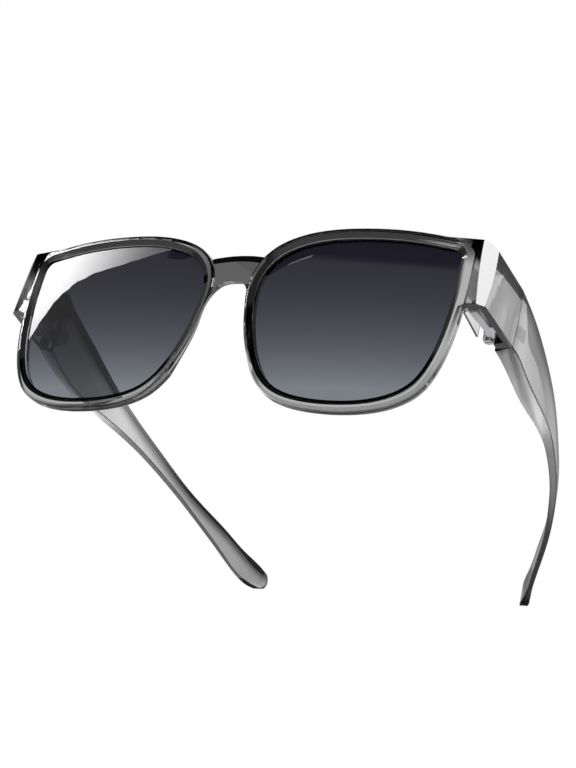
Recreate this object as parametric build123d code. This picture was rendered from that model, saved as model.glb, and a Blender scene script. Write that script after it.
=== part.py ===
from build123d import *
import os
from math import atan2, cos, degrees, radians, sin, sqrt

# Fitover sunglasses, in millimetres. X runs across the face and +X is the wearer's left.
# The front faces -Y, the temples run back along +Y, and Z is up.
# The part stands on the rims' lowest edges and the temple tips, at Z = 0.

# Lenses
lens_width = 59.0
lens_height = 49.7
lens_gap = 17.3
lens_thickness = 1.2
lens_bow_radius = 208.0
bow_width = 65.2
bow_wrap = 3.64

# Vertical bow of the whole front, and the height of its foremost line
face_bow_radius = 270.0
face_bow_height = 32.6
face_bow_sweep = 20.0

# Rims: how far they stand around, in front of and behind the lens face
rim_width = 3.1
rim_front = 1.3
rim_back = 2.5
rim_edge_round = 1.0
bevel_width = 1.6
bevel_depth = 0.8
groove_depth = 0.7
groove_clearance = 0.1
rim_foot_flat = 0.08

# Bridge
bridge_top = 49.4
bridge_top_radius = 34.0
bridge_half_width = 8.6
bridge_set_back = 0.8
bridge_bevel_height = 2.5
bridge_bevel_depth = 0.9

# Nose opening under the bridge: height of its arch and half width at its foot
nose_arch_height = 40.0
nose_foot_half_width = 12.9

# End pieces
front_width = 151.8
end_piece_top = 53.4
end_piece_bottom = 32.6
end_piece_inner_x = 68.3
end_piece_wall = 1.9
end_piece_inner_wall = 1.6
end_piece_roof = 1.6
end_piece_slant_share = 0.12
corner_chamfer_top = 2.3
corner_chamfer_bottom = 1.1

# Temples. The hinge width is measured over the outer faces at the split.
hinge_width = 155.6
split_y = 23.8
split_gap = 0.3
temple_length = 118.3
temple_inset = 29.5
temple_thickness = 5.4
temple_top = 51.0
temple_bottom = 30.4
crown_share = 0.015
side_bevel_share = 0.28
tip_round = 3.4
side_round = 0.4
round_share = 0.12

# Hinges. Both leaves are measured from the hinge axis: outward, back and up.
hinge_x = 70.9
hinge_y = 22.4
hinge_bottom = 32.9
barrel_radius = 1.75
knuckle_length = 3.6
knuckle_gap = 0.1
barrel_clearance = 0.3
screw_radius = 0.7
screw_clearance = 0.05
screw_head_radius = 1.3
screw_head_height = 0.6
screw_slot_width = 0.4
screw_slot_depth = 0.3

# Room for the hinge in the end piece
cavity_front = 17.0
end_wall_front = 0.9
bay_front = 5.4

# Front hinge leaf: a bar, a post and an eight-sided anchor plate on the outer wall
seat_clearance = 0.05
bar_inner = 1.0
bar_outer = 3.3
bar_front = 15.5
bar_height = 3.2
block_inner = 0.4
block_front = 4.6
post_inner = 2.1
post_front = 7.0
post_back = 4.0
post_height = 13.0
anchor_back = 1.0
anchor_length = 10.0
anchor_height = 8.4
anchor_top = 49.6
anchor_corner = 2.6
anchor_thickness = 1.0

# Temple hinge leaf: a lug beside the barrel, a step outwards and a buried shank
lug_inner = 0.2
lug_outer = 1.7
step_front = 2.3
step_back = 4.0
shank_inner = 3.1
shank_thickness = 1.2
shank_back = 9.0

# Lens outline, as shares of half the width and half the height from the lens centre.
# It runs from the outer top corner over the brow, down the nose side and back up.
outline_shares = [
    (0.91, 0.89),
    (0.64, 0.942),
    (0.29, 0.986),
    (0.0, 0.999),
    (-0.30, 0.99),
    (-0.632, 0.917),
    (-0.802, 0.821),
    (-0.93, 0.664),
    (-0.993, 0.459),
    (-0.993, 0.237),
    (-0.924, -0.165),
    (-0.805, -0.519),
    (-0.602, -0.817),
    (-0.307, -0.958),
    (0.0, -0.999),
    (0.303, -0.982),
    (0.625, -0.865),
    (0.764, -0.736),
    (0.853, -0.559),
    (0.947, -0.173),
    (0.993, 0.30),
    (0.996, 0.76),
]
brow_slope_share = -0.147

# Temple stations: share of the length, of the inset, of the thickness,
# of the temple's top height for its lower edge and for its upper edge,
# and how far the lower edge slants up outwards, as a share of the thickness.
temple_shares = [
    (0.0, 0.0, 1.0, 0.596, 1.0, 0.22),
    (0.092, -0.02, 0.926, 0.545, 0.933, 0.26),
    (0.202, -0.01, 0.907, 0.51, 0.847, 0.25),
    (0.312, 0.027, 0.778, 0.514, 0.755, 0.12),
    (0.413, 0.095, 0.574, 0.508, 0.678, 0.0),
    (0.506, 0.173, 0.481, 0.4745, 0.604, 0.0),
    (0.591, 0.254, 0.435, 0.4235, 0.533, 0.0),
    (0.675, 0.361, 0.407, 0.351, 0.449, 0.0),
    (0.76, 0.498, 0.37, 0.253, 0.3706, 0.0),
    (0.844, 0.678, 0.35, 0.1255, 0.2814, 0.0),
    (0.912, 0.82, 0.39, 0.0255, 0.2, 0.0),
    (0.959, 0.895, 0.6, 0.0, 0.152, 0.0),
    (0.985, 0.955, 0.5, 0.0, 0.125, 0.0),
    (1.0, 1.02, 0.22, 0.0, 0.11, 0.0),
]

# Nose opening, as shares of its foot's half width and of its arch height,
# from the middle of the arch down to the foot, at the front and at the back
nose_front_shares = [
    (0.0, 1.0),
    (0.248, 0.985),
    (0.388, 0.94),
    (0.453, 0.8625),
    (0.504, 0.7625),
    (0.62, 0.6025),
    (0.791, 0.4475),
    (1.0, 0.2975),
]
nose_back_shares = [
    (0.0, 1.025),
    (0.302, 1.01),
    (0.496, 0.9575),
    (0.612, 0.875),
    (0.659, 0.7525),
    (0.736, 0.6),
    (0.876, 0.45),
    (1.039, 0.3),
]

# How far cutting shapes run past what they cut
overrun = 40.0
nose_overrun_share = 0.6

lens_centre_x = (lens_gap + lens_width) / 2
lens_centre_z = rim_width + lens_height / 2
corner_x = front_width / 2
split_outer_x = hinge_width / 2
splay = degrees(atan2(split_outer_x - corner_x, split_y))
hinge_place = Location((hinge_x, hinge_y, 0), (0, 0, -splay))
knuckle_step = knuckle_length + knuckle_gap
stood_up = (Align.CENTER, Align.CENTER, Align.MIN)
upper_knuckle_bottom = hinge_bottom + 2 * knuckle_step
wall_reach = (split_outer_x - hinge_x) * cos(radians(splay)) - end_piece_wall
wall_reach = wall_reach - (split_y - hinge_y) * sin(radians(splay))
cavity_inner_x = end_piece_inner_x + end_piece_inner_wall
end_slope = (end_piece_top - temple_top) / split_y


def half_bow(offset, side):
    nose_end = Vector(side * lens_gap / 2, offset)
    outer_end = Vector(side * (lens_gap / 2 + bow_width), bow_wrap + offset)
    lens_line = RadiusArc(nose_end, outer_end, -side * lens_bow_radius)
    tail = Line(outer_end, outer_end + (lens_line % 1) * lens_gap)
    return lens_line, tail


def bow(offset):
    # The plan line of both lens faces and the bridge, moved back by the offset
    right_lens, right_tail = half_bow(offset, -1)
    left_lens, left_tail = half_bow(offset, 1)
    middle = TangentArc(left_lens @ 0, right_lens @ 0, tangent=(left_lens % 0) * -1)
    return [right_tail, right_lens, middle, left_lens, left_tail]


def slab(front, back):
    # A bowed sheet of the whole front, between two distances behind the lens face
    near = bow(front)
    away = bow(back)
    ends = [Line(near[0] @ 1, away[0] @ 1), Line(near[-1] @ 1, away[-1] @ 1)]
    profile = Pos(0, 0, face_bow_height) * Face(Wire(near + away + ends))
    axis = Axis((0, face_bow_radius, face_bow_height), (1, 0, 0))
    start = profile.rotate(axis, -face_bow_sweep / 2)
    return revolve(start, axis=axis, revolution_arc=face_bow_sweep)


def through(face):
    # A flat shape drawn on the face plane, run through the front both ways
    return extrude(Plane.XZ * face, amount=overrun, both=True)


def lens_shape(grow):
    half_width = lens_width / 2 + grow
    half_height = lens_height / 2 + grow
    points = [
        (lens_centre_x + x_share * half_width, lens_centre_z + z_share * half_height)
        for x_share, z_share in outline_shares
    ]
    run = Spline(*points, tangents=[(-1, -brow_slope_share), (0, 1)])
    corner = TangentArc(run @ 1, run @ 0, tangent=run % 1)
    return Face(Wire([run, corner]))


def both_sides(shape):
    return shape + mirror(shape, about=Plane.YZ)


def side_section(y, outer, inner, bottom, top, slant_share):
    # One upright section of an end piece or temple: crowned outside, bevelled on top
    low = bottom + slant_share * (outer - inner)
    crown = crown_share * (top - bottom)
    bevel = side_bevel_share * min(outer - inner, temple_thickness)
    face_x = outer - crown
    edges = [
        Line((inner, bottom), (face_x, low)),
        ThreePointArc((face_x, low), (outer, (low + top) / 2), (face_x, top - bevel)),
        Line((face_x, top - bevel), (face_x - bevel, top)),
        Line((face_x - bevel, top), (inner, top)),
        Line((inner, top), (inner, bottom)),
    ]
    section = Face(Wire(edges))
    section = fillet(section.vertices(), min(side_round, round_share * (top - low)))
    return Pos(0, y, 0) * (Plane.XZ * section)


def corner_point(chamfer_size, height):
    # Where the corner chamfer starts on the front face, at one height
    tail = half_bow(-rim_front, 1)[1]
    slope = (tail % 0).Y / (tail % 0).X
    x = corner_x - crown_share * (end_piece_top - end_piece_bottom)
    level_y = (tail @ 0).Y + slope * (x - (tail @ 0).X)
    reach = face_bow_radius - level_y
    y = face_bow_radius - sqrt(reach**2 - (height - face_bow_height) ** 2)
    return Vector(x - chamfer_size, y, height)


def end_piece():
    inner_x = end_piece_inner_x
    slant = end_piece_slant_share
    front = side_section(0, corner_x, inner_x, end_piece_bottom, end_piece_top, slant)
    back = side_section(split_y, split_outer_x, inner_x, temple_bottom, temple_top, slant)
    block = loft([front, back])
    low = corner_point(corner_chamfer_bottom, end_piece_bottom)
    high = corner_point(corner_chamfer_top, end_piece_top)
    across = Vector(1, 1, 0)
    corner = Plane(origin=low, x_dir=across, z_dir=across.cross(high - low))
    return split(block, bisect_by=corner, keep=Keep.BOTTOM)


def flange():
    # Fills the corner between the rim and the end piece, level with its sloping top
    middle_x = lens_centre_x + lens_width / 4
    rim_x = lens_centre_x + lens_width / 2
    outer_x = end_piece_inner_x + rim_width
    rim_top = lens_centre_z + lens_height / 2 + rim_width
    points = [
        (middle_x, lens_centre_z),
        (middle_x, rim_top),
        (outer_x, rim_top),
        (outer_x, end_piece_bottom),
        (rim_x, end_piece_bottom - rim_front),
    ]
    block = through(make_face(Polyline(*points, close=True)))
    top = Plane(origin=(0, 0, end_piece_top), x_dir=(1, 0, 0), z_dir=(0, end_slope, 1))
    return split(block, bisect_by=top, keep=Keep.BOTTOM)


def bridge():
    drop = bridge_top_radius - sqrt(bridge_top_radius**2 - bridge_half_width**2)
    left = (bridge_half_width, bridge_top - drop)
    right = (-bridge_half_width, bridge_top - drop)
    left_foot = (bridge_half_width, lens_centre_z)
    right_foot = (-bridge_half_width, lens_centre_z)
    top = ThreePointArc(left, (0, bridge_top), right)
    sides = [Line(right, right_foot), Line(right_foot, left_foot), Line(left_foot, left)]
    body = through(Face(Wire([top, *sides]))) & slab(bridge_set_back - rim_front, rim_back)
    face = body.faces().filter_by(GeomType.TORUS).sort_by(Axis.Y)[0]
    edge = face.edges().sort_by(Axis.Z)[-1]
    return chamfer(edge, length=bridge_bevel_height, length2=bridge_bevel_depth, reference=face)


def nose_section(share):
    # The nose opening's outline at a share of the way from the front to the back
    half = []
    for front, back in zip(nose_front_shares, nose_back_shares):
        x = nose_foot_half_width * (front[0] + share * (back[0] - front[0]))
        z = nose_arch_height * (front[1] + share * (back[1] - front[1]))
        half.append(Vector(x, z))
    other = [Vector(-point.X, point.Y) for point in half[:0:-1]]
    arch = Spline(*other, *half)
    left_foot = Vector(half[-1].X, -rim_width)
    right_foot = Vector(other[0].X, -rim_width)
    sides = [Line(arch @ 1, left_foot), Line(left_foot, right_foot), Line(right_foot, arch @ 0)]
    y = share * (rim_front + rim_back) - rim_front
    return Pos(0, y, 0) * (Plane.XZ * Face(Wire([arch, *sides])))


def hinge_box(inner, outer, front, back, bottom, top):
    # A block placed from the hinge axis: outward, back along the end piece and up
    block = Pos(0, 0, bottom) * Box(
        outer - inner, back - front, top - bottom, align=(Align.MIN, Align.MIN, Align.MIN)
    )
    return hinge_place * Pos(inner, front, 0) * block


def anchor_plate(grow):
    middle = Location((0, anchor_back - anchor_length / 2, anchor_top - anchor_height / 2))
    shape = Rectangle(anchor_length + 2 * grow, anchor_height + 2 * grow)
    shape = chamfer(shape.vertices(), anchor_corner)
    plate = extrude(Plane.YZ * shape, amount=anchor_thickness + 2 * grow)
    inner_x = wall_reach - seat_clearance - anchor_thickness - grow
    return hinge_place * Pos(inner_x, 0, 0) * middle * plate


def cavity():
    # The hollow inside the end piece: open below, with an even roof over it
    front_top = end_piece_top - end_piece_roof - end_slope * (hinge_y - cavity_front)
    back_top = end_piece_top - end_piece_roof - end_slope * (hinge_y - end_wall_front)
    points = [
        (-cavity_front, 0),
        (-cavity_front, front_top),
        (-end_wall_front, back_top),
        (-end_wall_front, 0),
    ]
    side = Plane.YZ * make_face(Polyline(*points, close=True))
    start = end_piece_inner_x - hinge_x
    hollow = hinge_place * Pos(start, 0, 0) * extrude(side, amount=wall_reach - start)
    return split(hollow, bisect_by=Plane.YZ.offset(cavity_inner_x), keep=Keep.TOP)


def barrel(start, count, radius):
    # A length of the hinge barrel, from one knuckle upwards
    height = count * knuckle_step - knuckle_gap
    low = hinge_bottom + start * knuckle_step
    return hinge_place * Pos(0, 0, low) * Cylinder(radius, height, align=stood_up)


def flat_foot(shape):
    return split(shape, bisect_by=Plane.XY.offset(rim_foot_flat), keep=Keep.TOP)


def rim(sheet):
    plate = through(lens_shape(rim_width)) & sheet
    walls = (GeomType.EXTRUSION, GeomType.CYLINDER)
    broad_faces = plate.faces().filter_by(lambda face: face.geom_type not in walls)
    plate = fillet(broad_faces.edges().filter_by(GeomType.BSPLINE), rim_edge_round)
    ring = plate - through(lens_shape(0))
    front_face = ring.faces().filter_by(lambda face: face.inner_wires()).sort_by(Axis.Y)[0]
    inner_edges = front_face.inner_wires()[0].edges()
    return chamfer(inner_edges, length=bevel_width, length2=bevel_depth, reference=front_face)


def nose_cut():
    front = nose_section(-nose_overrun_share)
    back = nose_section(1 + nose_overrun_share)
    return loft([front, back], ruled=True)


def bay():
    # Leaves the barrel free from the inside, above and below
    reach = barrel_radius + barrel_clearance
    return hinge_box(-overrun, reach, -bay_front, overrun, 0, end_piece_top)


def front_frame():
    sheet = slab(-rim_front, rim_back)
    clear = through(lens_shape((rim_width + bevel_width) / 2))
    groove = through(lens_shape(groove_depth))
    groove = groove & slab(-seat_clearance, lens_thickness + seat_clearance)
    side = (flange() & sheet) + (end_piece() & slab(-rim_front, overrun)) - clear
    side = side - (cavity() + bay() + anchor_plate(seat_clearance))
    left_bridge = split(bridge() - clear, bisect_by=Plane.YZ, keep=Keep.TOP)
    half = (rim(sheet) - groove) + side + left_bridge - nose_cut()
    return flat_foot(both_sides(half))


def lens():
    face = lens_shape(groove_depth - groove_clearance)
    return through(face) & slab(0, lens_thickness)


def tip_corners():
    # What is cut from the temple's end to leave it round in side view
    middle = split_y + split_gap + temple_length - tip_round
    block = Box(overrun, overrun, overrun, align=(Align.CENTER, Align.MIN, Align.CENTER))
    rounded = Rot(0, 90, 0) * Cylinder(tip_round, overrun)
    place = Pos(split_outer_x - temple_inset, middle, tip_round)
    return place * (block - rounded)


def temple():
    sections = []
    for along, inset, thickness, bottom, top, slant in temple_shares:
        outer = split_outer_x - inset * temple_inset
        inner = outer - thickness * temple_thickness
        y = split_y + split_gap + along * temple_length
        low = bottom * temple_top
        sections.append(side_section(y, outer, inner, low, top * temple_top, slant))
    side = loft(sections) - tip_corners()
    return flat_foot(side) - temple_leaf_body(seat_clearance)


def front_leaf():
    back = -end_wall_front - seat_clearance
    bar_top = hinge_bottom + bar_height
    post_outer = wall_reach - seat_clearance
    post_top = hinge_bottom + post_height
    bar = hinge_box(bar_inner, bar_outer, -bar_front, back, hinge_bottom, bar_top)
    post = hinge_box(post_inner, post_outer, -post_front, -post_back, hinge_bottom, post_top)
    leaf = bar + post + anchor_plate(0)
    for low in (hinge_bottom, upper_knuckle_bottom):
        high = low + knuckle_length
        leaf = leaf + hinge_box(block_inner, bar_outer, -block_front, back, low, high)
    leaf = leaf + barrel(0, 1, barrel_radius) + barrel(2, 1, barrel_radius)
    return leaf - barrel(0, 3, screw_radius + screw_clearance)


def temple_leaf_body(grow):
    # The lug, step and shank; grown by the clearance, it cuts their slot in the temple
    low = hinge_bottom + knuckle_step
    high = low + knuckle_length
    outer = shank_inner + shank_thickness + grow
    front = step_front - grow
    lug = hinge_box(lug_inner, lug_outer, 0, step_back, low, high)
    step = hinge_box(lug_inner, outer, front, step_back + grow, low - grow, high + grow)
    shank = hinge_box(shank_inner - grow, outer, front, shank_back + grow, low - grow, high + grow)
    return lug + step + shank


def temple_leaf():
    leaf = temple_leaf_body(0) + barrel(1, 1, barrel_radius)
    return leaf - barrel(0, 3, screw_radius + screw_clearance)


def screw():
    low = hinge_bottom - screw_head_height
    reach = screw_head_radius
    half_slot = screw_slot_width / 2
    head = Cylinder(reach, screw_head_height, align=stood_up)
    slot = hinge_box(-reach, reach, -half_slot, half_slot, low, low + screw_slot_depth)
    return barrel(0, 3, screw_radius) + hinge_place * Pos(0, 0, low) * head - slot


front = front_frame()
side_pieces = {
    "lens": lens(),
    "temple": temple(),
    "front_hinge_leaf": front_leaf(),
    "temple_hinge_leaf": temple_leaf(),
    "hinge_screw": screw(),
}

# The origin goes under the middle of the whole, on the flat that it stands on
front_end = front.bounding_box().min.Y
back_end = side_pieces["temple"].bounding_box().max.Y
stand = Pos(0, -(front_end + back_end) / 2, -rim_foot_flat)

os.makedirs("parts", exist_ok=True)
export_step(stand * front, "parts/front_frame.step")
for name, piece in side_pieces.items():
    export_step(stand * piece, f"parts/{name}_left.step")
    export_step(stand * mirror(piece, about=Plane.YZ), f"parts/{name}_right.step")
print("moved back by", -(front_end + back_end) / 2)
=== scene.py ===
import math

import bpy
from mathutils import Matrix, Vector


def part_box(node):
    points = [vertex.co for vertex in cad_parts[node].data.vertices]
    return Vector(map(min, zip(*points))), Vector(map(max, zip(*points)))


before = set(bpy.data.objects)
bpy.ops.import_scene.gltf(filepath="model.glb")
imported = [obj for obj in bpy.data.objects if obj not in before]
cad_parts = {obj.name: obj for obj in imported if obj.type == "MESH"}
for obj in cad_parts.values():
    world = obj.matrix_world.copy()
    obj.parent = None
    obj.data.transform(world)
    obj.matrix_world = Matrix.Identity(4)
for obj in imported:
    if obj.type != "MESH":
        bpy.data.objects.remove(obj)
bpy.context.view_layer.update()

# Everything is in metres, in the frame of the CAD model: +X is the wearer's
# left, the lenses face -Y, and the rims stand on the floor at zero height
LENS_LOW, LENS_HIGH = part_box("lens_left")
LENS_MIDDLE = (LENS_LOW + LENS_HIGH) / 2.0
TEMPLE_LOW, TEMPLE_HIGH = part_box("temple_left")

# A temple's sloping top edge: shares of its length, and of its full height
TEMPLE_TOP_EDGE = (
    (0.0, 1.0),
    (0.202, 0.847),
    (0.413, 0.678),
    (0.675, 0.449),
    (0.844, 0.281),
    (0.912, 0.2),
    (1.0, 0.11),
)

# Camera
CAMERA_AZIMUTH = 30.22
CAMERA_ELEVATION = -23.96
CAMERA_ROLL = 13.64
CAMERA_TARGET = Vector((0.00467, -0.03447, 0.02618))
CAMERA_DISTANCE = 0.5418
CAMERA_LENS = 86.565
CAMERA_SENSOR = 36.0
CAMERA_CLIP = (0.01, 50.0)

# The fades of the looks are pairs: a mask is nothing at the first value and
# whole at the second. OUT is the distance from the middle plane, DEPTH runs
# along Y, and FACING is the normal's share of an axis, from -1 to 1
MIDDLE_OUT = (0.069, 0.064)
END_PIECE_OUT = (0.064, 0.069)
# EDGE_LEAN picks the rounded and bevelled long edges that get painted shade
EDGE_LEAN = (0.30, 0.42)
WIPE_NOISE = (0.5, 0.75)

# Fades of the front frame, which place where its colour is darkened, mostly
# with painted shade, and the clear line left on each rim as a painted
# highlight. LEAN is how far a rim's surface faces away from the middle of its
# lens, and SHARP_TURN how well a bevel keeps the true normal
RIM_FACING = (-0.35, -0.6)
RIM_INNER_LEAN = (-0.2, -0.3)
RIM_OUTER_LEAN = (0.2, 0.35)
RIM_OUTER_HEIGHT = (0.016, 0.032)
RIDGE_FACING = (-0.955, -0.98)
RIDGE_OUT = (0.015, 0.018)
FRONT_FACING = (0.2, 0.0)
BRIDGE_OUT = (0.012, 0.008)
BRIDGE_TOP_OUT = (0.015, 0.010)
BRIDGE_TOP_FACING = (0.15, 0.3)
FOOT_FACING = (-0.7, -0.9)
CORNER_DEPTH = (-0.0575, -0.0610)
CORNER_FACING = (0.85, 0.95)
CORNER_OUT = (0.072, 0.0745)
SHARP_REACH = 0.0007
SHARP_TURN = (0.99, 0.95)
SHARP_OUT = (0.069, 0.0705)

# Fades of the temples, which place their painted shade, the painted light on
# their undersides and their darker hinge end. BAND_DROP is measured down from
# the top edge
UNDER_FACING = (-0.75, -0.9)
KEEL_FACING = (-0.5, -0.8)
FORWARD_DEPTH = (0.008, -0.008)
HINGE_END_DEPTH = (0.005, -0.03)
BAND_DROP = (0.0045, 0.0008)
BAND_FACING = (0.8, 0.6)

# Fade of the hinge steel, from bare to painted shadow above the temple's
# knuckle, where the end piece shades it
STEEL_SHADOW_HEIGHT = (0.0403, 0.0412)

# The share of light that the colour still passes where it is darkened: the
# front's middle faces, the edges and the temples' top band and undersides at
# the tip get painted shade, while the corners, the bridge and the hinge end
# are simply darker
FRAME_DARKENING = {"middle": 0.38, "corner": 0.4, "bridge": 0.55, "edges": 0.0005}
TEMPLE_DARKENING = {"hinge end": 0.5, "keel_shade": 0.06, "band": 0.15, "edges": 0.002}

# How far painted light lightens the temple's underside ahead of the ear, and
# how satin the underside is
UNDER_PAINTED_LIGHT = 0.85
UNDER_SATIN = 0.3

# Clear plastics: their polish, how they bend light, and how fast their depth
# darkens it
FRAME_ROUGHNESS = 0.0
FRAME_IOR = 1.49
LENS_IOR = 1.5
FRAME_DENSITY = 180.0
TEMPLE_DENSITY = 45.0

# How much finer a texture is along each axis
MELT_STRETCH = (40.0, 12.0, 160.0)
WIPE_STRETCH = (1.0, 0.2, 0.35)
LEAF_GRAIN = (200.0, 200.0, 6000.0)
SCREW_GRAIN = (6000.0, 6000.0, 900.0)

# The floor's plain middle and its whole reach
FLOOR_PLAIN = 0.35
FLOOR_REACH = 1.2

# The room's light on matt surfaces, and what gloss sees of it: how high a
# direction points, from 0 straight down to 1 straight up, and the level there
ROOM_FILL = 0.55
ROOM_LEVELS = ((0.47, 0.5), (0.5, 0.4), (0.77, 0.38), (0.775, 0.01))

# Where the lamp and the cards aim
AIM = Vector((0.0, -0.04, 0.03))

# Lamp cards, across and up as the object sees them
KEY_OUTLINE = (
    (-0.150, -0.262),
    (-0.140, -0.238),
    (-0.121, -0.190),
    (-0.104, -0.155),
    (-0.083, -0.124),
    (-0.060, -0.103),
    (-0.032, -0.084),
    (0.002, -0.067),
    (0.040, -0.051),
    (0.095, -0.032),
    (0.152, -0.004),
    (0.214, 0.030),
    (0.246, 0.045),
    (0.262, 0.073),
    (0.120, 0.045),
    (0.007, 0.024),
    (-0.100, 0.004),
    (-0.214, -0.022),
    (-0.240, -0.030),
    (-0.240, -0.262),
)
CORNER_OUTLINE = (
    (-0.20, -0.13),
    (0.20, -0.13),
    (0.20, 0.13),
    (-0.20, 0.13),
)
SIDE_OUTLINE = (
    (-0.50, -0.45),
    (0.50, -0.45),
    (0.50, 0.050),
    (0.40, 0.060),
    (0.34, 0.075),
    (0.30, 0.088),
    (0.25, 0.105),
    (0.18, 0.140),
    (0.13, 0.165),
    (-0.50, 0.165),
)

# Mirror cards under the temples, in X and Y just above the floor
UNDER_HEIGHT = 0.001
UNDER_LEFT_OUTLINE = (
    (0.070, -0.024),
    (0.110, -0.024),
    (0.110, 0.040),
    (0.056, 0.040),
    (0.056, -0.012),
    (0.070, -0.012),
)
UNDER_RIGHT_OUTLINE = (
    (-0.120, -0.050),
    (-0.045, -0.050),
    (-0.045, 0.070),
    (-0.120, 0.070),
)

# Black flags in front of the lenses, in X and Z. The first one's lower edge
# bounds the dark brow of the lenses, and the second keeps the key card off an
# end piece
FLAG_DEPTH = -0.155
BROW_FLAG_OUTLINE = (
    (-0.0800, 0.1120),
    (-0.0681, 0.1090),
    (-0.0597, 0.1111),
    (-0.0521, 0.1140),
    (-0.0399, 0.1156),
    (-0.0286, 0.1165),
    (-0.0150, 0.1164),
    (-0.0023, 0.1154),
    (0.0256, 0.1121),
    (0.0513, 0.1082),
    (0.0750, 0.1030),
    (0.0750, 0.1280),
    (-0.0800, 0.1280),
)
SIDE_FLAG_OUTLINE = (
    (-0.243, 0.100),
    (-0.330, 0.100),
    (-0.330, 0.220),
    (-0.243, 0.220),
)


def grey(level, blue=1.0):
    """A grey of one level, with its blue share."""
    return (level, level, level * blue, 1.0)


WHITE = grey(1.0)
BLACK = grey(0.0)


def direction(azimuth, elevation):
    """The unit vector that points from the object to an azimuth and elevation."""
    turn = math.radians(azimuth)
    rise = math.radians(elevation)
    return Vector(
        (
            math.sin(turn) * math.cos(rise),
            -math.cos(turn) * math.cos(rise),
            math.sin(rise),
        )
    )


# Node helpers


def put(tree, kind, settings=None, inputs=None):
    """Adds a node. Each input is a plain value or another node's output."""
    node = tree.nodes.new(kind)
    for name, value in (settings or {}).items():
        setattr(node, name, value)
    for name, value in (inputs or {}).items():
        if isinstance(value, bpy.types.NodeSocket):
            tree.links.new(value, node.inputs[name])
        else:
            node.inputs[name].default_value = value
    return node


def sums(tree, operation, *values):
    """A math node's output."""
    inputs = dict(enumerate(values))
    return put(tree, "ShaderNodeMath", {"operation": operation}, inputs).outputs[0]


def vectors(tree, operation, output, *values):
    """A vector math node's output, Vector or Value."""
    inputs = dict(enumerate(values))
    node = put(tree, "ShaderNodeVectorMath", {"operation": operation}, inputs)
    return node.outputs[output]


def spread(tree, value, low, high, out_low=0.0, out_high=1.0, smooth=True):
    """Maps a value from one range to another, held at the ends."""
    kind = "SMOOTHSTEP" if smooth else "LINEAR"
    ends = {
        "Value": value,
        "From Min": low,
        "From Max": high,
        "To Min": out_low,
        "To Max": out_high,
    }
    node = put(tree, "ShaderNodeMapRange", {"interpolation_type": kind}, ends)
    return node.outputs["Result"]


def overlap(tree, mask, *others):
    """A mask that is whole only where all the masks are."""
    for other in others:
        mask = sums(tree, "MULTIPLY", mask, other)
    return mask


def either(tree, mask, *others):
    """A mask that is whole wherever one of the masks is."""
    for other in others:
        mask = sums(tree, "MAXIMUM", mask, other)
    return mask


def opposite(tree, mask):
    """A mask that is whole where this one is nothing."""
    return sums(tree, "SUBTRACT", 1.0, mask)


def noise(tree, place, scale, detail, roughness=0.5):
    """A noise texture's value, from 0 to 1."""
    inputs = {
        "Vector": place,
        "Scale": scale,
        "Detail": detail,
        "Roughness": roughness,
    }
    return put(tree, "ShaderNodeTexNoise", inputs=inputs).outputs["Fac"]


def object_place(tree):
    """Where each point lies on its object."""
    return put(tree, "ShaderNodeTexCoord").outputs["Object"]


def place_and_facing(tree):
    """Where each point lies and which way it faces, split into axes."""
    coordinates = put(tree, "ShaderNodeTexCoord").outputs
    place = put(tree, "ShaderNodeSeparateXYZ", inputs={0: coordinates["Object"]})
    facing = put(tree, "ShaderNodeSeparateXYZ", inputs={0: coordinates["Normal"]})
    return place.outputs, facing.outputs


def blend_colours(tree, share, first, second, mode="MIX"):
    """A mix node's colour output."""
    node = put(tree, "ShaderNodeMix", {"data_type": "RGBA", "blend_type": mode})
    for socket, value in ((0, share), (6, first), (7, second)):
        if isinstance(value, bpy.types.NodeSocket):
            tree.links.new(value, node.inputs[socket])
        else:
            node.inputs[socket].default_value = value
    return node.outputs[2]


def tinted(tree, first, second):
    """One colour seen through another."""
    return blend_colours(tree, 1.0, first, second, "MULTIPLY")


def darken(tree, dye, mask, level):
    """The dye, passing only this share of its light where the mask is whole."""
    return blend_colours(tree, mask, dye, tinted(tree, dye, grey(level)))


def mix_shaders(tree, share, first, second):
    """A mix of two shader nodes, the second one by its share."""
    inputs = {0: share, 1: first.outputs[0], 2: second.outputs[0]}
    return put(tree, "ShaderNodeMixShader", inputs=inputs)


def cover(tree, shader):
    """Makes a shader node the material's surface, and gives the output node."""
    return put(tree, "ShaderNodeOutputMaterial", inputs={"Surface": shader.outputs[0]})


def new_material(name):
    """A material with no nodes yet, and its node tree."""
    made = bpy.data.materials.new(name)
    made.use_nodes = True
    made.node_tree.nodes.clear()
    return made, made.node_tree


def new_group(name, inputs, outputs):
    """An empty shader node group with named sockets, and its two end nodes."""
    tree = bpy.data.node_groups.new(name, "ShaderNodeTree")
    for label, kind, value in inputs:
        socket = tree.interface.new_socket(
            name=label, in_out="INPUT", socket_type="NodeSocket" + kind
        )
        socket.default_value = value
    for label, kind in outputs:
        tree.interface.new_socket(
            name=label, in_out="OUTPUT", socket_type="NodeSocket" + kind
        )
    return tree, tree.nodes.new("NodeGroupInput"), tree.nodes.new("NodeGroupOutput")


def use_group(tree, group, output, inputs=None):
    """Places a group in a material with its own values, and gives its output."""
    node = put(tree, "ShaderNodeGroup", {"node_tree": group}, inputs)
    return node.outputs[output]


# Effects that several materials share


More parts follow.
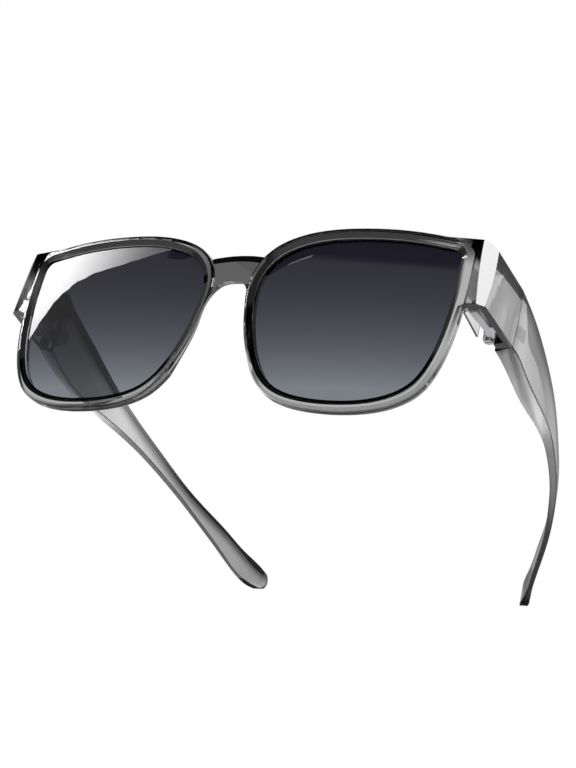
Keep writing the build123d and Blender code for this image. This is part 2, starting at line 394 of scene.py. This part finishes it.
def make_smoke_tint():
    """The dye of the moulded and cast pieces: it changes from the foot to the
    brow and towards the tip, with the faint streaks that the melt leaves."""
    tree, start, end = new_group(
        "smoke_tint",
        [
            ("Foot Height", "Float", 0.002),
            ("Brow Height", "Float", 0.052),
            ("Foot Tint", "Color", WHITE),
            ("Brow Tint", "Color", BLACK),
            ("Tip Tint", "Color", WHITE),
            ("Clear Middle", "Float", 0.0),
            ("Streaks", "Float", 0.05),
        ],
        [("Tint", "Color")],
    )
    given = start.outputs
    place = object_place(tree)
    parts = put(tree, "ShaderNodeSeparateXYZ", inputs={0: place}).outputs
    out = sums(tree, "ABSOLUTE", parts["X"])
    middle = overlap(tree, spread(tree, out, *MIDDLE_OUT), given["Clear Middle"])
    rise = spread(
        tree, parts["Z"], given["Foot Height"], given["Brow Height"], smooth=False
    )
    brow_share = overlap(tree, rise, opposite(tree, middle))
    foot_share = opposite(tree, brow_share)
    foot = {"Color": given["Foot Tint"], "Gamma": foot_share}
    brow = {"Color": given["Brow Tint"], "Gamma": brow_share}
    upright = tinted(
        tree,
        put(tree, "ShaderNodeGamma", inputs=foot).outputs[0],
        put(tree, "ShaderNodeGamma", inputs=brow).outputs[0],
    )
    along = spread(tree, parts["Y"], TEMPLE_LOW.y, TEMPLE_HIGH.y)
    tint = tinted(tree, upright, blend_colours(tree, along, WHITE, given["Tip Tint"]))
    stretched = vectors(tree, "MULTIPLY", "Vector", place, MELT_STRETCH)
    melt = noise(tree, stretched, scale=1.0, detail=3.0)
    # The noise swings about one half, and the streaks about one
    swing = sums(tree, "SUBTRACT", melt, 0.5)
    streaks = sums(tree, "MULTIPLY_ADD", swing, given["Streaks"], 1.0)
    shade = put(
        tree, "ShaderNodeCombineColor", inputs={0: streaks, 1: streaks, 2: streaks}
    )
    tree.links.new(tinted(tree, tint, shade.outputs[0]), end.inputs["Tint"])
    return tree


def make_polish():
    """The polish of a handled surface, roughened here and there by fine wipe
    marks."""
    tree, start, end = new_group(
        "polish",
        [
            ("Roughness", "Float", 0.04),
            ("Wipe Marks", "Float", 0.03),
            ("Scale", "Float", 900.0),
        ],
        [("Roughness", "Float")],
    )
    given = start.outputs
    place = object_place(tree)
    along = vectors(tree, "MULTIPLY", "Vector", place, WIPE_STRETCH)
    wipe = noise(tree, along, given["Scale"], detail=4.0, roughness=0.6)
    handled = noise(tree, place, scale=70.0, detail=2.0)
    marks = overlap(tree, spread(tree, wipe, *WIPE_NOISE), handled)
    rough = sums(tree, "MULTIPLY_ADD", marks, given["Wipe Marks"], given["Roughness"])
    tree.links.new(rough, end.inputs["Roughness"])
    return tree


def make_painted_edge_shade():
    """Painted shade along rounded and bevelled long edges, whose faces lean
    between level and upright: the mask of where the colour is darkened."""
    tree, _, end = new_group("painted_edge_shade", [], [("Painted Shade", "Float")])
    normal = put(tree, "ShaderNodeTexCoord").outputs["Normal"]
    flat = vectors(tree, "MULTIPLY", "Vector", normal, (1.0, 1.0, 0.0))
    upright = vectors(tree, "LENGTH", "Value", flat)
    axes = put(tree, "ShaderNodeSeparateXYZ", inputs={0: normal}).outputs
    level = sums(tree, "ABSOLUTE", axes["Z"])
    lean = sums(tree, "MULTIPLY", upright, level)
    tree.links.new(spread(tree, lean, *EDGE_LEAN), end.inputs["Painted Shade"])
    return tree


# Clear plastic


def clear_piece(tree, dye, rough, ior):
    """Covers a material with clear dyed plastic, whose shadow is tinted, not
    black, and gives the output node."""
    plastic = put(
        tree,
        "ShaderNodeBsdfPrincipled",
        inputs={
            "Base Color": dye,
            "Roughness": rough,
            "IOR": ior,
            "Transmission Weight": 1.0,
        },
    )
    veil = put(tree, "ShaderNodeBsdfTransparent", inputs={"Color": dye})
    rays = put(tree, "ShaderNodeLightPath").outputs
    return cover(tree, mix_shaders(tree, rays["Is Shadow Ray"], plastic, veil))


def fill_with_dye(tree, end, density):
    """Dyes a piece through its depth, so that long ways through it are dark."""
    inputs = {"Color": BLACK, "Density": density}
    depth = put(tree, "ShaderNodeVolumeAbsorption", inputs=inputs)
    tree.links.new(depth.outputs[0], end.inputs["Volume"])


# The front frame


def painted_rim_shade(tree, place, facing, out):
    """Where each rim gets painted shade: whole on the bevel that runs around the
    lens and on the outer round, with a clear line left between them as a
    painted highlight."""
    across = sums(tree, "SUBTRACT", out, LENS_MIDDLE.x)
    up = sums(tree, "SUBTRACT", place["Z"], LENS_MIDDLE.z)
    from_lens = put(tree, "ShaderNodeCombineXYZ", inputs={0: across, 2: up}).outputs[0]
    outwards = vectors(tree, "NORMALIZE", "Vector", from_lens)
    side = sums(tree, "SIGN", place["X"])
    facing_across = sums(tree, "MULTIPLY", facing["X"], side)
    faced = put(
        tree, "ShaderNodeCombineXYZ", inputs={0: facing_across, 2: facing["Z"]}
    ).outputs[0]
    lean = vectors(tree, "DOT_PRODUCT", "Value", outwards, faced)
    inner = spread(tree, lean, *RIM_INNER_LEAN)
    outer = overlap(
        tree,
        spread(tree, lean, *RIM_OUTER_LEAN),
        spread(tree, place["Z"], *RIM_OUTER_HEIGHT),
    )
    to_front = spread(tree, facing["Y"], *RIM_FACING)
    return overlap(tree, to_front, either(tree, inner, outer))


def sharp_edge_shade(tree, out):
    """Painted shade on the sharp edges of the end pieces, where a bevel would turn the
    normal.
    """
    bevel = put(tree, "ShaderNodeBevel", {"samples": 6}, {"Radius": SHARP_REACH})
    plain = put(tree, "ShaderNodeNewGeometry").outputs["Normal"]
    turned = vectors(tree, "DOT_PRODUCT", "Value", plain, bevel.outputs["Normal"])
    return overlap(
        tree, spread(tree, turned, *SHARP_TURN), spread(tree, out, *SHARP_OUT)
    )


def frame_edge_shade(tree, lines, place, facing, out):
    """All edges of the front that get painted shade: the end pieces' long edges and
    undersides, the rims, the top of the bridge and the sharp edges.
    """
    # Painted shade on the end pieces' undersides
    foot = spread(tree, facing["Z"], *FOOT_FACING)
    end_piece_shade = overlap(
        tree,
        either(tree, use_group(tree, lines, "Painted Shade"), foot),
        spread(tree, out, *END_PIECE_OUT),
    )
    bridge_top_shade = overlap(
        tree,
        spread(tree, out, *BRIDGE_TOP_OUT),
        spread(tree, facing["Z"], *BRIDGE_TOP_FACING),
    )
    rims = painted_rim_shade(tree, place, facing, out)
    return either(tree, end_piece_shade, rims, bridge_top_shade, sharp_edge_shade(tree, out))


def make_smoke_frame(tint, lines):
    """The front: polished see-through grey, darker towards the top of its end
    pieces and at its bridge, with painted shade on its rims and edges, and a
    light ridge left clear between each rim's bevel and its outer round as a
    painted highlight."""
    made, tree = new_material("smoke_frame")
    dye = use_group(
        tree,
        tint,
        "Tint",
        {
            "Foot Tint": grey(0.92),
            "Brow Tint": grey(0.05),
            "Foot Height": 0.046,
            "Brow Height": 0.054,
            "Clear Middle": 1.0,
            "Streaks": 0.08,
        },
    )
    place, facing = place_and_facing(tree)
    out = sums(tree, "ABSOLUTE", place["X"])
    # Each rim's ridge, left clear of the painted shade so that it shows as a painted
    # highlight line
    ridge = overlap(
        tree,
        spread(tree, facing["Y"], *RIDGE_FACING),
        spread(tree, out, *RIDGE_OUT),
    )
    # Painted shade on the front and side faces of the middle, apart from the ridges
    front = spread(tree, facing["Y"], *FRONT_FACING)
    middle = overlap(
        tree,
        sums(tree, "SUBTRACT", front, ridge),
        spread(tree, out, *MIDDLE_OUT),
    )
    # Darker at the front of each end piece's outer side
    corner = overlap(
        tree,
        spread(tree, place["Y"], *CORNER_DEPTH),
        spread(tree, sums(tree, "ABSOLUTE", facing["X"]), *CORNER_FACING),
        spread(tree, out, *CORNER_OUT),
    )
    # Darker at the bridge
    bridge = spread(tree, out, *BRIDGE_OUT)
    edges = frame_edge_shade(tree, lines, place, facing, out)
    dye = darken(tree, dye, middle, FRAME_DARKENING["middle"])
    dye = darken(tree, dye, corner, FRAME_DARKENING["corner"])
    dye = darken(tree, dye, bridge, FRAME_DARKENING["bridge"])
    dye = darken(tree, dye, edges, FRAME_DARKENING["edges"])
    end = clear_piece(tree, dye, FRAME_ROUGHNESS, FRAME_IOR)
    fill_with_dye(tree, end, FRAME_DENSITY)
    return made


# The temples


def painted_top_shade(tree, place, facing):
    """Painted shade on a temple's sides just under its sloping top edge."""
    along = spread(tree, place["Y"], TEMPLE_LOW.y, TEMPLE_HIGH.y, smooth=False)
    curve = put(tree, "ShaderNodeFloatCurve", inputs={"Value": along})
    line = curve.mapping.curves[0]
    line.points[0].location = TEMPLE_TOP_EDGE[0]
    line.points[1].location = TEMPLE_TOP_EDGE[-1]
    for share, height in TEMPLE_TOP_EDGE[1:-1]:
        line.points.new(share, height)
    curve.mapping.update()
    top = sums(tree, "MULTIPLY", curve.outputs[0], TEMPLE_HIGH.z)
    drop = sums(tree, "SUBTRACT", top, place["Z"])
    level = sums(tree, "ABSOLUTE", facing["Z"])
    return overlap(
        tree, spread(tree, drop, *BAND_DROP), spread(tree, level, *BAND_FACING)
    )


def make_smoke_temple(tint, lines):
    """A temple: polished see-through grey, darker towards the hinge, with painted
    shade along its top edge, its long edges and under its tip. Its underside is
    satin, and lightened ahead of the ear with painted light."""
    made, tree = new_material("smoke_temple")
    dye = use_group(
        tree,
        tint,
        "Tint",
        {
            "Foot Tint": grey(0.7),
            "Brow Tint": grey(0.7),
            "Tip Tint": grey(0.5),
            "Streaks": 0.08,
        },
    )
    place, facing = place_and_facing(tree)
    under = spread(tree, facing["Z"], *UNDER_FACING)
    forward = spread(tree, place["Y"], *FORWARD_DEPTH)
    hinge_end = spread(tree, place["Y"], *HINGE_END_DEPTH)
    # Painted shade on the downward faces behind the front part of the temple
    keel_shade = overlap(
        tree, spread(tree, facing["Z"], *KEEL_FACING), opposite(tree, forward)
    )
    # Painted shade along the temple's long edges
    edges = use_group(tree, lines, "Painted Shade")
    # Darker towards the hinge end
    dye = darken(tree, dye, hinge_end, TEMPLE_DARKENING["hinge end"])
    # Painted light: the underside ahead of the ear is lightened towards white
    painted_light = blend_colours(tree, UNDER_PAINTED_LIGHT, dye, WHITE)
    dye = blend_colours(tree, overlap(tree, under, forward), dye, painted_light)
    dye = darken(tree, dye, keel_shade, TEMPLE_DARKENING["keel_shade"])
    dye = darken(tree, dye, painted_top_shade(tree, place, facing), TEMPLE_DARKENING["band"])
    dye = darken(tree, dye, edges, TEMPLE_DARKENING["edges"])
    rough = sums(tree, "MULTIPLY", under, UNDER_SATIN)
    end = clear_piece(tree, dye, rough, FRAME_IOR)
    fill_with_dye(tree, end, TEMPLE_DENSITY)
    return made


# The lenses


def make_gradient_lens(tint, polish):
    """A lens: nearly black at the brow, clearing to a blue grey at the foot."""
    made, tree = new_material("gradient_lens")
    dye = use_group(
        tree,
        tint,
        "Tint",
        {
            "Foot Tint": (0.19, 0.21, 0.23, 1.0),
            "Brow Tint": (0.0135, 0.013, 0.021, 1.0),
            "Foot Height": 0.007,
            "Brow Height": 0.046,
            "Streaks": 0.02,
        },
    )
    marks = {"Roughness": 0.0, "Wipe Marks": 0.01, "Scale": 900.0}
    rough = use_group(tree, polish, "Roughness", marks)
    clear_piece(tree, dye, rough, LENS_IOR)
    return made


# The hinges


def make_steel(name, polish, grain):
    """Nickel steel with fine lines along its grain, and painted shadow that
    turns it nearly black above the temple's knuckle.
    """
    made, tree = new_material(name)
    place = object_place(tree)
    drawn = vectors(tree, "MULTIPLY", "Vector", place, grain)
    lines = noise(tree, drawn, scale=1.0, detail=4.0)
    colour = blend_colours(tree, lines, grey(0.30, 1.02), grey(0.48, 1.03))
    height = put(tree, "ShaderNodeSeparateXYZ", inputs={0: place}).outputs["Z"]
    # Painted shadow on the steel above the temple's knuckle
    painted_shadow = spread(tree, height, *STEEL_SHADOW_HEIGHT)
    colour = blend_colours(tree, painted_shadow, colour, grey(0.015))
    marks = {"Roughness": 0.2, "Wipe Marks": 0.15, "Scale": 1500.0}
    rough = use_group(tree, polish, "Roughness", marks)
    grooves = {"Strength": 0.12, "Distance": 0.00005, "Height": lines}
    bump = put(tree, "ShaderNodeBump", inputs=grooves)
    steel = put(
        tree,
        "ShaderNodeBsdfPrincipled",
        inputs={
            "Base Color": colour,
            "Metallic": 1.0,
            "Roughness": rough,
            "Normal": bump.outputs["Normal"],
        },
    )
    cover(tree, steel)
    return made


def dress(node, material):
    """Gives a CAD node its material."""
    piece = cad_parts[node]
    for place in piece.material_slots:
        place.material = material


# The studio


def flat_object(name, outline, material):
    """A staged flat mesh, from the points of its outline."""
    mesh = bpy.data.meshes.new(name)
    mesh.from_pydata(outline, [], [tuple(range(len(outline)))])
    mesh.update()
    mesh.materials.append(material)
    made = bpy.data.objects.new(name, mesh)
    bpy.context.scene.collection.objects.link(made)
    return made


def make_floor():
    """A pale floor, seen from above only, that fades out into the backdrop."""
    made, tree = new_material("floor_paper")
    place = object_place(tree)
    reach = vectors(tree, "LENGTH", "Value", place)
    shown = spread(tree, reach, FLOOR_REACH, FLOOR_PLAIN)
    fibres = noise(tree, place, scale=600.0, detail=3.0)
    colour = blend_colours(tree, fibres, grey(0.86), grey(0.9))
    matt = {"Color": colour, "Roughness": 0.5}
    paper = put(tree, "ShaderNodeBsdfDiffuse", inputs=matt)
    nothing = put(tree, "ShaderNodeBsdfTransparent")
    below = put(tree, "ShaderNodeNewGeometry").outputs["Backfacing"]
    seen = overlap(tree, shown, opposite(tree, below))
    cover(tree, mix_shaders(tree, seen, nothing, paper))
    corners = ((-1.0, -1.0), (1.0, -1.0), (1.0, 1.0), (-1.0, 1.0))
    outline = [(x * FLOOR_REACH, y * FLOOR_REACH, 0.0) for x, y in corners]
    flat_object("floor", outline, made)


def make_glow(name, strength, hot, reach, edge_share, mirror_only=False):
    """A lamp's cloth: brightest at its hot place, and down to a share of that
    at its reach. Nothing sees it through a clear piece, and neither does the
    camera. A mirror card shows in reflections and lights nothing else."""
    made, tree = new_material(name)
    away = vectors(tree, "DISTANCE", "Value", object_place(tree), hot)
    power = spread(tree, away, 0.0, reach, strength, strength * edge_share)
    light = put(tree, "ShaderNodeEmission", inputs={"Color": WHITE, "Strength": power})
    nothing = put(tree, "ShaderNodeBsdfTransparent")
    rays = put(tree, "ShaderNodeLightPath").outputs
    if mirror_only:
        hidden = opposite(tree, rays["Is Glossy Ray"])
    else:
        hidden = either(tree, rays["Is Camera Ray"], rays["Is Transmission Ray"])
    through = sums(tree, "GREATER_THAN", rays["Transmission Depth"], 0.5)
    cover(tree, mix_shaders(tree, either(tree, hidden, through), light, nothing))
    return made


def make_card(name, outline, material, azimuth, elevation, distance):
    """A flat lamp card that faces the object, from its outline across and up."""
    facing = direction(azimuth, elevation)
    across = Vector((0.0, 0.0, 1.0)).cross(facing).normalized()
    up = facing.cross(across)
    card = flat_object(name, [(u, v, 0.0) for u, v in outline], material)
    turn = Matrix((across, up, facing)).transposed().to_4x4()
    card.matrix_world = Matrix.Translation(AIM + facing * distance) @ turn


def make_cards():
    """The lamp cards, whose reflections give the pieces their light areas."""
    key_glow = make_glow(
        "key_glow", strength=17.0, hot=(-0.17, -0.07, 0.0), reach=0.40, edge_share=0.13
    )
    make_card(
        "key_card", KEY_OUTLINE, key_glow, azimuth=-50.0, elevation=32.0, distance=1.0
    )
    corner_glow = make_glow(
        "corner_glow", strength=20.0, hot=(0.0, 0.0, 0.0), reach=0.5, edge_share=0.6
    )
    make_card(
        "corner_card",
        CORNER_OUTLINE,
        corner_glow,
        azimuth=67.0,
        elevation=36.0,
        distance=1.0,
    )
    side_glow = make_glow(
        "side_glow", strength=3.0, hot=(0.0, 0.0, 0.0), reach=0.6, edge_share=0.0
    )
    make_card(
        "side_card", SIDE_OUTLINE, side_glow, azimuth=138.0, elevation=22.0, distance=1.1
    )
    under_glow = make_glow(
        "under_glow",
        strength=4.0,
        hot=(0.08, -0.03, 0.0),
        reach=0.3,
        edge_share=0.3,
        mirror_only=True,
    )
    outlines = {"left": UNDER_LEFT_OUTLINE, "right": UNDER_RIGHT_OUTLINE}
    for side, outline in outlines.items():
        points = [(x, y, UNDER_HEIGHT) for x, y in outline]
        flat_object("under_card_" + side, points, under_glow)


def make_flags():
    """Flags of black cloth that only reflections see."""
    made, tree = new_material("flag_cloth")
    weave = noise(tree, object_place(tree), scale=400.0, detail=2.0)
    faint = sums(tree, "MULTIPLY", weave, 0.01)
    cloth = put(tree, "ShaderNodeEmission", inputs={"Color": WHITE, "Strength": faint})
    nothing = put(tree, "ShaderNodeBsdfTransparent")
    rays = put(tree, "ShaderNodeLightPath").outputs
    cover(tree, mix_shaders(tree, rays["Is Glossy Ray"], nothing, cloth))
    outlines = {"brow_flag": BROW_FLAG_OUTLINE, "side_flag": SIDE_FLAG_OUTLINE}
    for name, outline in outlines.items():
        flat_object(name, [(x, FLAG_DEPTH, z) for x, z in outline], made)


def make_backdrop():
    """White for the camera and through clear pieces, dark overhead in gloss."""
    world = bpy.data.worlds.new("studio")
    bpy.context.scene.world = world
    world.use_nodes = True
    tree = world.node_tree
    tree.nodes.clear()
    looking = put(tree, "ShaderNodeTexCoord").outputs["Generated"]
    height = put(tree, "ShaderNodeSeparateXYZ", inputs={0: looking}).outputs["Z"]
    share = spread(tree, height, -1.0, 1.0, smooth=False)
    room = put(tree, "ShaderNodeValToRGB", inputs={"Fac": share})
    ends = (ROOM_LEVELS[0], ROOM_LEVELS[-1])
    for element, (position, level) in zip(room.color_ramp.elements, ends):
        element.position = position
        element.color = grey(level)
    for position, level in ROOM_LEVELS[1:-1]:
        room.color_ramp.elements.new(position).color = grey(level)
    rays = put(tree, "ShaderNodeLightPath").outputs
    straight = either(tree, rays["Is Camera Ray"], rays["Is Transmission Ray"])
    soft = blend_colours(tree, rays["Is Glossy Ray"], grey(ROOM_FILL), room.outputs[0])
    colour = blend_colours(tree, straight, soft, WHITE)
    light = put(tree, "ShaderNodeBackground", inputs={"Color": colour})
    put(tree, "ShaderNodeOutputWorld", inputs={"Surface": light.outputs[0]})


def make_lamp(name, azimuth, elevation, distance, size, power):
    """A soft square lamp that faces the object."""
    lamp = bpy.data.lights.new(name, "AREA")
    lamp.size = size
    lamp.energy = power
    made = bpy.data.objects.new(name, lamp)
    bpy.context.scene.collection.objects.link(made)
    facing = direction(azimuth, elevation)
    made.location = AIM + facing * distance
    made.rotation_mode = "QUATERNION"
    made.rotation_quaternion = (-facing).to_track_quat("-Z", "Y")
    made.visible_camera = False


def make_camera():
    """The camera at the photograph's angle."""
    data = bpy.data.cameras.new("camera")
    data.sensor_width = CAMERA_SENSOR
    data.lens = CAMERA_LENS
    data.clip_start, data.clip_end = CAMERA_CLIP
    camera = bpy.data.objects.new("camera", data)
    bpy.context.scene.collection.objects.link(camera)
    back = direction(CAMERA_AZIMUTH, CAMERA_ELEVATION)
    level = Vector((0.0, 0.0, 1.0)).cross(back).normalized()
    upright = back.cross(level)
    roll = math.radians(CAMERA_ROLL)
    right = level * math.cos(roll) + upright * math.sin(roll)
    up = upright * math.cos(roll) - level * math.sin(roll)
    turn = Matrix((right, up, back)).transposed().to_4x4()
    place = Matrix.Translation(CAMERA_TARGET + back * CAMERA_DISTANCE)
    camera.matrix_world = place @ turn
    bpy.context.scene.camera = camera


bpy.context.scene.view_settings.view_transform = "Standard"

smoke_tint = make_smoke_tint()
# Painted shade along the long edges, shared by the front and the temples
painted_edge_shade = make_painted_edge_shade()
polish = make_polish()

smoke_frame = make_smoke_frame(smoke_tint, painted_edge_shade)
smoke_temple = make_smoke_temple(smoke_tint, painted_edge_shade)
gradient_lens = make_gradient_lens(smoke_tint, polish)
leaf_steel = make_steel("leaf_steel", polish, LEAF_GRAIN)
screw_steel = make_steel("screw_steel", polish, SCREW_GRAIN)

dress("front_frame", smoke_frame)
for side in ("left", "right"):
    dress("lens_" + side, gradient_lens)
    dress("temple_" + side, smoke_temple)
    dress("front_hinge_leaf_" + side, leaf_steel)
    dress("temple_hinge_leaf_" + side, leaf_steel)
    dress("hinge_screw_" + side, screw_steel)

make_floor()
make_backdrop()
make_lamp(
    "overhead_lamp", azimuth=165.0, elevation=62.0, distance=1.1, size=0.8, power=4.0
)
make_cards()
make_flags()
make_camera()
